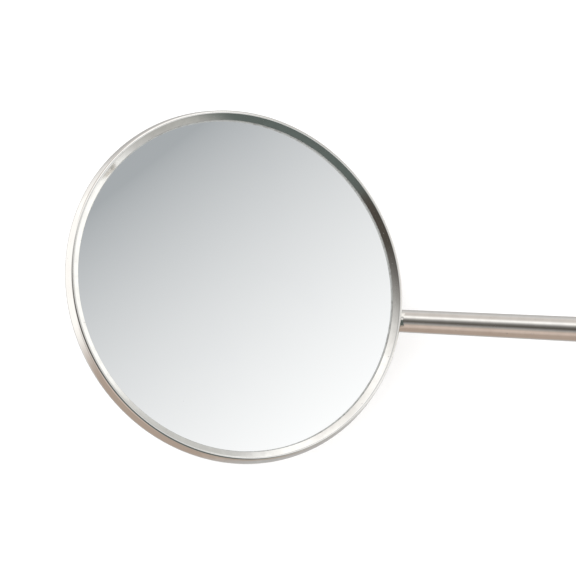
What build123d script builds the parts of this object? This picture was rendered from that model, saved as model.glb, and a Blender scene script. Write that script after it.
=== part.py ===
from build123d import *

import os
from math import cos, radians, sin, tan

# Mouth mirror: a round mirror in a pressed steel cup, on a slender stem that screws
# into a hollow octagonal handle. Millimetres. The handle lies along X with the head
# at its +X end and rests on a flat at Z = 0. The mirror faces up and back to the hand.

# Handle
handle_length = 112.0
across_flats = 6.0
corner_rounding = 0.35
tube_bore_radius = 2.4
tube_end_radius = 2.95
tube_end_bevel_length = 1.5
nose_length = 9.0
nose_front_radius = 2.15
nose_back_radius = 2.88
nose_spigot_length = 8.0
plug_head_radius = 2.85
plug_rim_length = 0.8
plug_dome_length = 1.6
plug_spigot_length = 6.0
plug_lead_in = 0.4

# Ring grooves that the fingers hold, measured back from the nose and forward from the plug
groove_depth = 0.22
groove_width = 0.5
groove_pitch = 1.6
front_groove_count = 16
front_groove_start = 15.0
rear_groove_count = 3
rear_groove_start = 8.0

# Screw joint between stem and handle, M2.5 with a 0.45 mm pitch
thread_radius = 1.25
thread_pitch = 0.45
thread_depth = 0.27
thread_crest = 0.06
thread_sink = 0.02
flank_angle = 30.0
stud_length = 6.0
stud_tip_bevel = 0.3
bore_clearance = 0.05
bore_depth = 7.2
bore_mouth_bevel = 0.2
washer_thickness = 0.4
washer_radius = 1.95

# Ferrule, the turned end piece of the stem
shoulder_radius = 2.0
shoulder_length = 1.4
ferrule_length = 7.0
ferrule_tip_radius = 1.3
ferrule_socket_depth = 4.5
edge_rounding = 0.12
braze_radius = 0.3

# Stem, from the face of the handle's nose to the point where its axis meets the
# cylinder of the rim
stem_reach = 38.0
stem_head_radius = 0.76
stem_handle_radius = 0.95
root_depth = 1.4

# Mirror head. Heights are measured down from the top of the lip.
rim_radius = 12.0
face_angle = 32.0
sheet = 0.15
lip_length = 0.42
lip_slope = 32.0
crimp_inset = 0.1
crimp_radius = 0.17
wall_lean = 12.0
heel_radius = 0.6
heel_angle = 45.0
head_depth = 2.05
back_corner_radius = 0.5
glass_recess = 0.42
glass_radius = 11.7
glass_thickness = 0.9
glass_edge_bevel = 0.4
glass_front_bevel = 0.06
coat_thickness = 0.03
coat_radius = 11.6
seal_inner_radius = 11.2
seal_height = 0.06
pad_radius = 10.6
weld_radius = 1.1
weld_inset = 0.6

# The frame: X = 0 is the middle of the whole length, Y = 0 the plane of symmetry
axis_height = across_flats / 2
tilt_cos = cos(radians(face_angle))
tilt_sin = sin(radians(face_angle))
lip_rise = rim_radius * tilt_sin + root_depth * tilt_cos
lip_advance = rim_radius * tilt_cos - root_depth * tilt_sin
crimp_centre = Vector(rim_radius - crimp_inset - crimp_radius, -crimp_radius)
heel_centre_radius = rim_radius - heel_radius
wall_drop = (heel_radius - crimp_radius) / sin(radians(wall_lean)) - (crimp_centre.X - heel_centre_radius) / tan(
    radians(wall_lean)
)
heel_centre = Vector(heel_centre_radius, crimp_centre.Y - wall_drop)
head_overhang = lip_advance + heel_centre.X * tilt_cos - heel_centre.Y * tilt_sin + heel_radius
nose_x = (handle_length - stem_reach - head_overhang) / 2
root_x = nose_x + stem_reach
lip_centre = Vector(root_x + lip_advance, 0, axis_height + lip_rise)
face_normal = Vector(-tilt_sin, 0, tilt_cos)
toward_root = Vector(-tilt_cos, 0, -tilt_sin)

# In head_section, x is the distance from the mirror's axis and y the height above the
# lip. In shaft_section, x is X and y the distance above the handle's axis.
head_section = Plane(origin=lip_centre, x_dir=toward_root, z_dir=(0, 1, 0))
head_axis = Axis(lip_centre, face_normal)
shaft_section = Plane(origin=(0, 0, axis_height), x_dir=(1, 0, 0), z_dir=(0, -1, 0))
shaft_axis = Axis((0, 0, axis_height), (1, 0, 0))

coat_top = -glass_recess
glass_top = coat_top - coat_thickness
glass_bottom = glass_top - glass_thickness
floor_top = sheet - head_depth
shoulder_x = nose_x + washer_thickness
ferrule_end_x = shoulder_x + ferrule_length
socket_x = ferrule_end_x - ferrule_socket_depth
stud_tip_x = nose_x - stud_length
stud_radius = thread_radius - thread_depth
thread_root_half = thread_crest / 2 + (thread_depth + thread_sink) * tan(radians(flank_angle))
tube_front_x = nose_x - nose_length
plug_front_x = nose_x - handle_length + plug_rim_length + plug_dome_length
bore_radius = thread_radius + bore_clearance


def cup_outline():
    """Draw the outside of the cup, from the edge of its lip to the middle of its back, and return that edge."""
    lip_top = crimp_centre + Vector(crimp_radius, 0).rotate(Axis.Z, 90 + lip_slope)
    lip_edge = lip_top - Vector(lip_length, 0).rotate(Axis.Z, lip_slope)
    Line(lip_edge, lip_top)
    crimp = CenterArc(crimp_centre, crimp_radius, 90 + lip_slope, wall_lean - lip_slope - 90)
    heel = CenterArc(heel_centre, heel_radius, wall_lean, -wall_lean - heel_angle)
    Line(crimp @ 1, heel @ 0)
    heel_end = heel @ 1
    corner = (heel_end.X - (head_depth + heel_end.Y) / tan(radians(heel_angle)), -head_depth)
    FilletPolyline(heel_end, corner, (0, -head_depth), radius=back_corner_radius)
    return lip_edge


def cup_wall():
    """Draw the section of the cup, one sheet thick inward from its outside."""
    cup_outline()
    offset(amount=sheet, side=Side.RIGHT)


# Cup: sheet steel pressed to a shallow pan, its lip crimped over the edge of the glass
with BuildPart() as mirror_cup:
    with BuildSketch(head_section):
        with BuildLine():
            cup_wall()
        make_face()
    revolve(axis=head_axis)

# Glass: a round plate, its rear edge bevelled to sit in the heel of the cup
with BuildPart() as mirror_glass:
    with BuildSketch(head_section):
        with BuildLine():
            Polyline(
                (0, glass_top),
                (glass_radius - glass_front_bevel, glass_top),
                (glass_radius, glass_top - glass_front_bevel),
                (glass_radius, glass_bottom + glass_edge_bevel),
                (glass_radius - glass_edge_bevel, glass_bottom),
                (0, glass_bottom),
                close=True,
            )
        make_face()
    revolve(axis=head_axis)

# Coat: the thin metal layer on the front of the glass that reflects
with BuildPart() as reflective_coat:
    with BuildSketch(head_section):
        with Locations((0, coat_top)):
            Rectangle(coat_radius, coat_thickness, align=(Align.MIN, Align.MAX))
    revolve(axis=head_axis)

# Pad: presses the glass against the lip
with BuildPart() as cushion_pad:
    with BuildSketch(head_section):
        with Locations((0, floor_top)):
            Rectangle(pad_radius, glass_bottom - floor_top, align=(Align.MIN, Align.MIN))
    revolve(axis=head_axis)

# Seal: a bead of cement in the corner between the lip and the glass
with BuildPart() as lip_seal:
    with BuildSketch(head_section):
        with Locations((seal_inner_radius, coat_top)):
            Rectangle(glass_radius - seal_inner_radius, seal_height, align=(Align.MIN, Align.MIN))
        with BuildLine():
            cup_wall()
        make_face(mode=Mode.SUBTRACT)
    revolve(axis=head_axis)

# The space that the cup takes up, and all that lies behind its back
with BuildPart() as cup_space:
    with BuildSketch(head_section):
        with BuildLine():
            lip_edge = cup_outline()
            Polyline((0, -head_depth), (0, lip_edge.Y), lip_edge)
        make_face()
    revolve(axis=head_axis)
    with BuildSketch(head_section):
        with Locations((rim_radius / 2, -head_depth)):
            Rectangle(2 * rim_radius, rim_radius, align=(Align.CENTER, Align.MAX))
    extrude(amount=rim_radius, both=True)

# Stem: a tapered rod, its root cut to the side of the cup and flush with the back
with BuildPart() as stem:
    with BuildSketch(shaft_section):
        with BuildLine():
            Polyline(
                (socket_x, 0),
                (socket_x, stem_handle_radius),
                (ferrule_end_x, stem_handle_radius),
                (root_x, stem_head_radius),
                (root_x + lip_advance / 2, stem_head_radius),
                (root_x + lip_advance / 2, 0),
                close=True,
            )
        make_face()
    revolve(axis=shaft_axis)
    add(cup_space.part, mode=Mode.SUBTRACT)

# Weld: the bead that joins the root of the stem to the cup
with BuildPart() as root_weld:
    with Locations((root_x + weld_inset, 0, axis_height)):
        Sphere(weld_radius)
    add(stem.part, mode=Mode.SUBTRACT)
    add(cup_space.part, mode=Mode.SUBTRACT)

# Ferrule: the turned end of the stem, with a socket for the rod and a threaded stud
with BuildPart() as thread_ferrule:
    with BuildSketch(shaft_section):
        with BuildLine():
            Polyline(
                (stud_tip_x, 0),
                (stud_tip_x, stud_radius - stud_tip_bevel),
                (stud_tip_x + stud_tip_bevel, stud_radius),
                (shoulder_x, stud_radius),
                (shoulder_x, shoulder_radius),
                (shoulder_x + shoulder_length, shoulder_radius),
                (ferrule_end_x, ferrule_tip_radius),
                (ferrule_end_x, stem_handle_radius),
                (socket_x, stem_handle_radius),
                (socket_x, 0),
                close=True,
            )
        make_face()
    revolve(axis=shaft_axis)
    fillet(thread_ferrule.edges().filter_by(GeomType.CIRCLE).group_by(SortBy.RADIUS)[-1], edge_rounding)
    with BuildLine():
        thread_turns = Helix(
            pitch=thread_pitch,
            height=stud_length - stud_tip_bevel - thread_pitch,
            radius=stud_radius,
            center=(nose_x - thread_pitch / 2, 0, axis_height),
            direction=(-1, 0, 0),
        )
    start = thread_turns @ 0
    outward = start - Vector(start.X, 0, axis_height)
    with BuildSketch(Plane(origin=start, x_dir=outward, z_dir=thread_turns % 0)):
        with BuildLine():
            Polyline(
                (-thread_sink, -thread_root_half),
                (thread_depth, -thread_crest / 2),
                (thread_depth, thread_crest / 2),
                (-thread_sink, thread_root_half),
                close=True,
            )
        make_face()
    sweep(path=thread_turns, is_frenet=True)

# Braze: the small fillet round the stem where it enters the ferrule
with BuildPart() as braze_fillet:
    with BuildSketch(shaft_section):
        with BuildLine():
            Line((ferrule_end_x, stem_handle_radius), (ferrule_end_x, stem_handle_radius + braze_radius))
            RadiusArc(
                (ferrule_end_x, stem_handle_radius + braze_radius),
                (ferrule_end_x + braze_radius, stem_handle_radius),
                -braze_radius,
            )
            Line((ferrule_end_x + braze_radius, stem_handle_radius), (ferrule_end_x, stem_handle_radius))
        make_face()
    revolve(axis=shaft_axis)

# Washer: seals the joint between the ferrule's shoulder and the nose of the handle
with BuildPart() as sealing_washer:
    with BuildSketch(shaft_section):
        with Locations((nose_x, bore_radius)):
            Rectangle(washer_thickness, washer_radius - bore_radius, align=(Align.MIN, Align.MIN))
    revolve(axis=shaft_axis)
    fillet(sealing_washer.edges().filter_by(GeomType.CIRCLE).group_by(SortBy.RADIUS)[-1], edge_rounding)

# Nose: the tapered insert in the front of the handle, bored for the stud
with BuildPart() as handle_nose:
    with BuildSketch(shaft_section):
        with BuildLine():
            Polyline(
                (nose_x - bore_depth - bore_radius / 2, 0),
                (nose_x - bore_depth, bore_radius),
                (nose_x - bore_mouth_bevel, bore_radius),
                (nose_x, bore_radius + bore_mouth_bevel),
                (nose_x, nose_front_radius),
                (tube_front_x, nose_back_radius),
                (tube_front_x, tube_bore_radius),
                (tube_front_x - nose_spigot_length, tube_bore_radius),
                (tube_front_x - nose_spigot_length, 0),
                close=True,
            )
        make_face()
    revolve(axis=shaft_axis)
    front_edges = handle_nose.edges().filter_by(GeomType.CIRCLE).group_by(Axis.X)[-1]
    fillet(front_edges.sort_by(SortBy.RADIUS)[-1], edge_rounding)

# Tube: the octagonal body of the handle, its ends turned down and its grip grooved
with BuildPart() as handle_tube:
    with BuildSketch(Plane(origin=(tube_front_x, 0, axis_height), x_dir=(0, 1, 0), z_dir=(-1, 0, 0))):
        outside = RegularPolygon(across_flats / 2, 8, major_radius=False, rotation=22.5)
        fillet(outside.vertices(), corner_rounding)
        Circle(tube_bore_radius, mode=Mode.SUBTRACT)
    extrude(amount=tube_front_x - plug_front_x)
    with BuildSketch(shaft_section):
        for end_x, inward in ((tube_front_x, -1), (plug_front_x, 1)):
            with BuildLine():
                Polyline(
                    (end_x, tube_end_radius),
                    (end_x, across_flats),
                    (end_x + inward * tube_end_bevel_length, across_flats),
                    (end_x + inward * tube_end_bevel_length, across_flats / 2 + groove_depth),
                    close=True,
                )
            make_face()
        front_grooves = [nose_x - front_groove_start - i * groove_pitch for i in range(front_groove_count)]
        rear_grooves = [plug_front_x + rear_groove_start + i * groove_pitch for i in range(rear_groove_count)]
        groove_floor = across_flats / 2 - groove_depth
        for groove_x in front_grooves + rear_grooves:
            with BuildLine():
                Polyline(
                    (groove_x - groove_width / 4, groove_floor),
                    (groove_x + groove_width / 4, groove_floor),
                    (groove_x + groove_width, across_flats),
                    (groove_x - groove_width, across_flats),
                    close=True,
                )
            make_face()
    revolve(axis=shaft_axis, mode=Mode.SUBTRACT)

# Plug: closes the rear of the tube with a low dome
with BuildPart() as end_plug:
    with BuildSketch(shaft_section):
        with BuildLine():
            Polyline(
                (plug_front_x - plug_rim_length - plug_dome_length, 0),
                (plug_front_x + plug_spigot_length, 0),
                (plug_front_x + plug_spigot_length, tube_bore_radius - plug_lead_in),
                (plug_front_x + plug_spigot_length - plug_lead_in, tube_bore_radius),
                (plug_front_x, tube_bore_radius),
                (plug_front_x, plug_head_radius),
                (plug_front_x - plug_rim_length, plug_head_radius),
            )
            dome_radius = (plug_head_radius**2 + plug_dome_length**2) / (2 * plug_dome_length)
            RadiusArc(
                (plug_front_x - plug_rim_length, plug_head_radius),
                (plug_front_x - plug_rim_length - plug_dome_length, 0),
                -dome_radius,
            )
        make_face()
    revolve(axis=shaft_axis)
    rim_edges = end_plug.edges().filter_by(Plane.YZ).group_by(SortBy.RADIUS)[-1]
    fillet(rim_edges, edge_rounding)

pieces = {
    "mirror_cup": mirror_cup,
    "mirror_glass": mirror_glass,
    "reflective_coat": reflective_coat,
    "cushion_pad": cushion_pad,
    "lip_seal": lip_seal,
    "stem": stem,
    "root_weld": root_weld,
    "thread_ferrule": thread_ferrule,
    "braze_fillet": braze_fillet,
    "sealing_washer": sealing_washer,
    "handle_nose": handle_nose,
    "handle_tube": handle_tube,
    "end_plug": end_plug,
}

os.makedirs("parts", exist_ok=True)
for name, piece in pieces.items():
    piece.part.label = name
    export_step(piece.part, f"parts/{name}.step")
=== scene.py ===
import logging
from dataclasses import dataclass, field
from enum import Enum
from math import cos, pi, radians, sin, sqrt, tan

import bpy
from mathutils import Euler, Matrix, Vector


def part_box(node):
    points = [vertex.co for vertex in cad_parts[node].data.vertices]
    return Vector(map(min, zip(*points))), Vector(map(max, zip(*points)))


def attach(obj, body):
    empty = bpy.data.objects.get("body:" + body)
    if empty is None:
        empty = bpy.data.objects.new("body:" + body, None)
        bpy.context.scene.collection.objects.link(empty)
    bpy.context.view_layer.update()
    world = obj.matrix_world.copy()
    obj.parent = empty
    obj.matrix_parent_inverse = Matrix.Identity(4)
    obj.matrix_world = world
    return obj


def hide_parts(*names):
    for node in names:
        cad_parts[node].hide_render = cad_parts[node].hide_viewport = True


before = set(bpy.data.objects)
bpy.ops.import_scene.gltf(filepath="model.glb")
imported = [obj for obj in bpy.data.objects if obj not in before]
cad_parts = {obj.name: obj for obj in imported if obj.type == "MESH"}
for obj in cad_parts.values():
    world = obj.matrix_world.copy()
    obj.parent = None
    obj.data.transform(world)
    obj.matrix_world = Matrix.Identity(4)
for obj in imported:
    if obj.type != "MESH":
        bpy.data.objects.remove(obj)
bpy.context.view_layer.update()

MM = 0.001
SEGMENTS = 192
SMOOTH_ANGLE = radians(32)

Ring = tuple[float, float]
Colour = tuple[float, float, float]

log = logging.getLogger("mouth_mirror")


class Ends(Enum):
    """How the two ends of a turned piece's outline are finished."""

    CAPPED = "capped"
    JOINED = "joined"


class Grain(Enum):
    """The way the tool marks run on a round piece: lines per mm outward, lines around, lines per mm along."""

    SPUN = (9.0, 3.0, 9.0)
    TURNED = (4.0, 1.5, 14.0)
    DRAWN = (0.4, 46.0, 0.25)
    BLASTED = (11.0, 40.0, 11.0)


@dataclass(frozen=True)
class TurningAxis:
    """A line that round pieces are turned about.

    Args:
        origin: The point that heights are measured from.
        along: The direction, one unit long, that heights grow in.
    """

    origin: Vector
    along: Vector

    def point(self, height: float) -> Vector:
        """Return the point on the axis at that height."""
        return self.origin + self.along * height

    def turn(self) -> Euler:
        """Return the rotation that lays a piece's own Z along the axis."""
        return self.along.to_track_quat("Z", "Y").to_euler()


# ---------------------------------------------------------------- the bench: modelling tools


def arc(centre: Ring, radius: float, start: float, end: float, steps: int) -> list[Ring]:
    """Space rings along an arc of an outline.

    Args:
        centre: The arc's centre, as distance from the axis and height.
        radius: The arc's radius.
        start: Where it starts, in degrees from straight outward.
        end: Where it ends, in degrees.
        steps: How many equal steps it takes.

    Returns:
        The rings, both ends included.
    """
    turns = [radians(start + (end - start) * i / steps) for i in range(steps + 1)]
    return [(centre[0] + radius * cos(a), centre[1] + radius * sin(a)) for a in turns]


def turned(
    name: str,
    axis: TurningAxis,
    rings: list[Ring],
    ends: Ends = Ends.CAPPED,
    segments: int = SEGMENTS,
) -> bpy.types.Object:
    """Turn a round piece: a circle is extruded and resized from ring to ring.

    Args:
        name: The piece's name.
        axis: The axis that it is turned about.
        rings: The outline, as distances from the axis and heights along it, in metres.
        ends: Whether the first and last rings are closed with faces or joined to each other.
        segments: How many sides each ring has.

    Returns:
        The piece, closed, with its faces outward.
    """
    radius, height = rings[0]
    bpy.ops.object.select_all(action="DESELECT")
    bpy.ops.mesh.primitive_circle_add(
        vertices=segments,
        radius=radius,
        fill_type="NGON" if ends is Ends.CAPPED else "NOTHING",
        location=axis.point(height),
        rotation=axis.turn(),
    )
    piece = bpy.context.object
    piece.name = name
    bpy.ops.object.transform_apply(location=True, rotation=True, scale=True)
    bpy.ops.object.mode_set(mode="EDIT")
    bpy.ops.mesh.select_all(action="SELECT")
    for next_radius, next_height in rings[1:]:
        rise = axis.along * (next_height - height)
        bpy.ops.mesh.extrude_region_move(TRANSFORM_OT_translate={"value": rise})
        scale = next_radius / radius
        bpy.ops.transform.resize(value=(scale,) * 3, center_override=axis.point(next_height))
        radius, height = next_radius, next_height
    bpy.ops.mesh.select_all(action="SELECT")
    if ends is Ends.JOINED:
        bpy.ops.mesh.remove_doubles(threshold=1e-7)
    bpy.ops.mesh.normals_make_consistent(inside=False)
    bpy.ops.object.mode_set(mode="OBJECT")
    bpy.ops.object.shade_smooth_by_angle(angle=SMOOTH_ANGLE)
    return piece


def make_active(piece: bpy.types.Object) -> None:
    """Select one piece alone and make it the one that the next operators act on."""
    bpy.ops.object.select_all(action="DESELECT")
    piece.select_set(True)
    bpy.context.view_layer.objects.active = piece


def cut(piece: bpy.types.Object, cutter: bpy.types.Object, keep_cutter: bool = False) -> None:
    """Take the cutter's space out of a piece.

    Args:
        piece: The piece that is cut.
        cutter: A closed solid.
        keep_cutter: Whether the cutter stays for another cut.
    """
    make_active(piece)
    difference = piece.modifiers.new("difference", "BOOLEAN")
    difference.operation = "DIFFERENCE"
    difference.solver = "EXACT"
    difference.object = cutter
    bpy.ops.object.modifier_apply(modifier=difference.name)
    bpy.ops.object.shade_smooth_by_angle(angle=SMOOTH_ANGLE)
    if not keep_cutter:
        bpy.data.objects.remove(cutter, do_unlink=True)


def joined(pieces: list[bpy.types.Object]) -> bpy.types.Object:
    """Join pieces into the first of them, which is returned."""
    make_active(pieces[0])
    for piece in pieces[1:]:
        piece.select_set(True)
    bpy.ops.object.join()
    return pieces[0]


def place(piece: bpy.types.Object, node: str, body: str, finish: bpy.types.Material) -> None:
    """Hand a finished piece over: it stands for a node, rides on a body and wears a finish.

    Args:
        piece: The finished piece.
        node: The CAD node that it stands for.
        body: The body that carries it.
        finish: The material.
    """
    piece.data.materials.clear()
    piece.data.materials.append(finish)
    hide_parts(node)
    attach(piece, body)
    log.info("%s stands for %s on %s: %d faces", piece.name, node, body, len(piece.data.polygons))


# ---------------------------------------------------------------- finishes


class NodeSheet:
    """Lays out the nodes of one shader tree.

    Args:
        tree: The node tree that it fills.
    """

    def __init__(self, tree: bpy.types.NodeTree) -> None:
        """Start on an empty tree."""
        self.tree = tree
        self.tree.nodes.clear()

    def add(self, kind: str, inputs: dict | None = None, **settings: object) -> bpy.types.Node:
        """Add a node.

        Args:
            kind: The node's type name.
            inputs: For each input's name or number, a value or the output socket that feeds it.
            settings: The node's own settings.

        Returns:
            The node.
        """
        node = self.tree.nodes.new(kind)
        for key, value in settings.items():
            setattr(node, key, value)
        for key, value in (inputs or {}).items():
            if isinstance(value, bpy.types.NodeSocket):
                self.tree.links.new(value, node.inputs[key])
            else:
                node.inputs[key].default_value = value
        return node

    def math(self, operation: str, *values: object) -> bpy.types.NodeSocket:
        """Return the result of a Math node on up to three values or sockets."""
        return self.add("ShaderNodeMath", dict(enumerate(values)), operation=operation).outputs[0]

    def ramp(
        self, value: object, low: float, high: float, to_low: float, to_high: float
    ) -> bpy.types.NodeSocket:
        """Return a value stretched smoothly from one range to another, and held at its ends."""
        node = self.add(
            "ShaderNodeMapRange",
            {"Value": value, "From Min": low, "From Max": high, "To Min": to_low, "To Max": to_high},
            interpolation_type="SMOOTHSTEP",
        )
        return node.outputs["Result"]

    def blend(self, share: object, first: object, second: object) -> bpy.types.NodeSocket:
        """Return two colours mixed by a share from 0 to 1."""
        node = self.add(
            "ShaderNodeMix",
            {"Factor": share, 6: first, 7: second},
            data_type="RGBA",
        )
        return node.outputs[2]

    def group(self, tree: bpy.types.NodeTree, inputs: dict) -> bpy.types.Node:
        """Place a node group with its own values."""
        return self.add("ShaderNodeGroup", inputs, node_tree=tree)

    def principled(self, inputs: dict) -> None:
        """End the sheet in a Principled shader with those inputs."""
        shader = self.add("ShaderNodeBsdfPrincipled", inputs)
        self.add("ShaderNodeOutputMaterial", {"Surface": shader.outputs[0]})


def start_material(name: str) -> tuple[bpy.types.Material, NodeSheet]:
    """Return a new material and the empty sheet of its nodes."""
    made = bpy.data.materials.new(name)
    made.use_nodes = True
    return made, NodeSheet(made.node_tree)


@dataclass
class EffectGroups:
    """The shader node groups that several finishes share. Vectors are in millimetres.

    Args:
        grain: Tool marks that run round or along a piece.
        marks: Soft smudges and worn patches.
        specks: Small pits and dust.
        wear: Brightening along edges.
    """

    grain: bpy.types.NodeTree = field(init=False)
    marks: bpy.types.NodeTree = field(init=False)
    specks: bpy.types.NodeTree = field(init=False)
    wear: bpy.types.NodeTree = field(init=False)

    def __post_init__(self) -> None:
        """Build each group once."""
        self.grain = self._grain()
        self.marks = self._marks()
        self.specks = self._specks()
        self.wear = self._wear()

    @staticmethod
    def _start(
        name: str, takes: dict[str, float | None], gives: list[str]
    ) -> tuple[NodeSheet, bpy.types.Node, bpy.types.Node]:
        """Open a group with named sockets.

        Args:
            name: The group's name.
            takes: Each input's name and starting value, or None for a vector.
            gives: The outputs' names, each a single number.

        Returns:
            The sheet to fill, and the group's input and output nodes.
        """
        tree = bpy.data.node_groups.new(name, "ShaderNodeTree")
        for socket_name, start in takes.items():
            kind = "NodeSocketVector" if start is None else "NodeSocketFloat"
            socket = tree.interface.new_socket(socket_name, in_out="INPUT", socket_type=kind)
            if start is not None:
                socket.default_value = start
        for socket_name in gives:
            tree.interface.new_socket(socket_name, in_out="OUTPUT", socket_type="NodeSocketFloat")
        sheet = NodeSheet(tree)
        return sheet, sheet.add("NodeGroupInput"), sheet.add("NodeGroupOutput")

    def _grain(self) -> bpy.types.NodeTree:
        """Return tool marks: a fine noise drawn out round or along the piece's own Z."""
        takes = {"Vector": None, "Outward": 1.0, "Around": 1.0, "Along": 1.0, "Contrast": 0.3}
        sheet, given, out = self._start("tool_grain", takes, ["Streak"])
        split = sheet.add("ShaderNodeSeparateXYZ", {0: given.outputs["Vector"]})
        x, y, z = split.outputs
        squares = [sheet.math("MULTIPLY", v, v) for v in (x, y)]
        outward = sheet.math("SQRT", sheet.math("ADD", *squares))
        safe = sheet.math("MAXIMUM", outward, 0.001)
        around = given.outputs["Around"]
        across = [sheet.math("MULTIPLY", sheet.math("DIVIDE", v, safe), around) for v in (x, y)]
        along = sheet.math("MULTIPLY", z, given.outputs["Along"])
        where = sheet.add("ShaderNodeCombineXYZ", {0: across[0], 1: across[1], 2: along})
        depth = sheet.math("MULTIPLY", outward, given.outputs["Outward"])
        noise = sheet.add(
            "ShaderNodeTexNoise",
            {"Vector": where.outputs[0], "W": depth, "Scale": 1.0, "Detail": 3.0, "Roughness": 0.65},
            noise_dimensions="4D",
        )
        low = sheet.math("SUBTRACT", 0.5, given.outputs["Contrast"])
        high = sheet.math("ADD", 0.5, given.outputs["Contrast"])
        streak = sheet.ramp(noise.outputs[0], low, high, 0.0, 1.0)
        sheet.tree.links.new(streak, out.inputs["Streak"])
        return sheet.tree

    def _marks(self) -> bpy.types.NodeTree:
        """Return soft smudges, such as handling leaves on polished metal."""
        takes = {"Vector": None, "Scale": 0.4, "Share": 0.5}
        sheet, given, out = self._start("handling_marks", takes, ["Mask"])
        vector, scale = given.outputs["Vector"], given.outputs["Scale"]
        broad = sheet.add(
            "ShaderNodeTexNoise", {"Vector": vector, "Scale": scale, "Detail": 5.0, "Distortion": 0.8}
        )
        edge = sheet.math("SUBTRACT", 1.0, given.outputs["Share"])
        start = sheet.math("MULTIPLY", edge, 0.9)
        mask = sheet.ramp(broad.outputs[0], start, sheet.math("ADD", start, 0.25), 0.0, 1.0)
        sheet.tree.links.new(mask, out.inputs["Mask"])
        return sheet.tree

    def _specks(self) -> bpy.types.NodeTree:
        """Return small round specks, scattered unevenly."""
        takes = {"Vector": None, "Per mm": 2.0, "Size": 0.1}
        sheet, given, out = self._start("specks", takes, ["Mask"])
        cells = sheet.add(
            "ShaderNodeTexVoronoi", {"Vector": given.outputs["Vector"], "Scale": given.outputs["Per mm"]}
        )
        rare = sheet.add("ShaderNodeSeparateColor", {0: cells.outputs["Color"]})
        limit = sheet.math("MULTIPLY", given.outputs["Size"], sheet.math("POWER", rare.outputs[0], 3.0))
        mask = sheet.math("LESS_THAN", cells.outputs["Distance"], limit)
        sheet.tree.links.new(mask, out.inputs["Mask"])
        return sheet.tree

    def _wear(self) -> bpy.types.NodeTree:
        """Return where an outer edge has been rubbed bright."""
        takes = {"Vector": None, "Pointiness": 0.5, "Reach": 0.06}
        sheet, given, out = self._start("edge_wear", takes, ["Mask"])
        high = sheet.math("ADD", 0.5, given.outputs["Reach"])
        edge = sheet.ramp(given.outputs["Pointiness"], 0.5, high, 0.0, 1.0)
        broken = sheet.add(
            "ShaderNodeTexNoise", {"Vector": given.outputs["Vector"], "Scale": 1.7, "Detail": 4.0}
        )
        mask = sheet.math("MULTIPLY", edge, sheet.ramp(broken.outputs[0], 0.35, 0.62, 0.25, 1.0))
        sheet.tree.links.new(mask, out.inputs["Mask"])
        return sheet.tree


@dataclass(frozen=True)
class SteelFinish:
    """Stainless steel with tool grain, handling marks, pits and rubbed edges.

    Args:
        name: The material's name.
        colour: The clean metal's colour.
        stain: The colour of the marks on it.
        roughness: The clean metal's roughness.
        grain: Which way the tool marks run.
        grain_depth: How deep the tool marks are, in metres.
        grain_roughness: How much the tool marks roughen the surface.
        mark_share: How much of the surface is marked, from 0 to 1.
        mark_strength: How strongly the marks tint the metal.
        wear_reach: How much an edge must stand out to be rubbed bright.
    """

    name: str
    colour: Colour
    stain: Colour
    roughness: float
    grain: Grain
    grain_depth: float = 0.4e-6
    grain_roughness: float = 0.06
    mark_share: float = 0.5
    mark_strength: float = 0.25
    wear_reach: float = 0.06

    def material(self, groups: EffectGroups, axis: TurningAxis) -> bpy.types.Material:
        """Make the material for pieces turned about one axis.

        Args:
            groups: The shared effects.
            axis: The axis that the tool marks run round or along.

        Returns:
            The material.
        """
        made, sheet = start_material(self.name)
        place_mm = millimetres_about(sheet, axis)
        outward, around, along = self.grain.value
        grain = sheet.group(
            groups.grain, {"Vector": place_mm, "Outward": outward, "Around": around, "Along": along}
        )
        marks = sheet.group(groups.marks, {"Vector": place_mm, "Scale": 0.35, "Share": self.mark_share})
        pits = sheet.group(groups.specks, {"Vector": place_mm, "Per mm": 3.1, "Size": 0.16})
        point = sheet.add("ShaderNodeNewGeometry").outputs["Pointiness"]
        wear = sheet.group(groups.wear, {"Vector": place_mm, "Pointiness": point, "Reach": self.wear_reach})
        streak = grain.outputs["Streak"]
        marked = sheet.math("MULTIPLY", marks.outputs["Mask"], self.mark_strength)
        stained = sheet.blend(marked, self._rgba(1.0), (*self.stain, 1.0))
        lined = sheet.blend(sheet.math("MULTIPLY", streak, 0.16), stained, self._rgba(0.72))
        pitted = sheet.blend(sheet.math("MULTIPLY", pits.outputs["Mask"], 0.5), lined, self._rgba(0.35))
        worn = sheet.blend(sheet.math("MULTIPLY", wear.outputs["Mask"], 0.6), pitted, self._rgba(1.12))
        rough = sheet.math("MULTIPLY_ADD", streak, self.grain_roughness, self.roughness)
        rough = sheet.math("MULTIPLY_ADD", marks.outputs["Mask"], 0.05, rough)
        rough = sheet.math("MULTIPLY_ADD", pits.outputs["Mask"], 0.2, rough)
        rough = sheet.math("MULTIPLY_ADD", wear.outputs["Mask"], -0.4 * self.roughness, rough)
        bump = sheet.add(
            "ShaderNodeBump", {"Height": streak, "Strength": 1.0, "Distance": self.grain_depth}
        )
        sheet.principled({"Base Color": worn, "Metallic": 1.0, "Roughness": rough, "Normal": bump.outputs[0]})
        return made

    def _rgba(self, share: float) -> tuple[float, float, float, float]:
        """Return the clean metal's colour, made lighter or darker, with its alpha."""
        return (*(min(1.0, c * share) for c in self.colour), 1.0)


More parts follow.
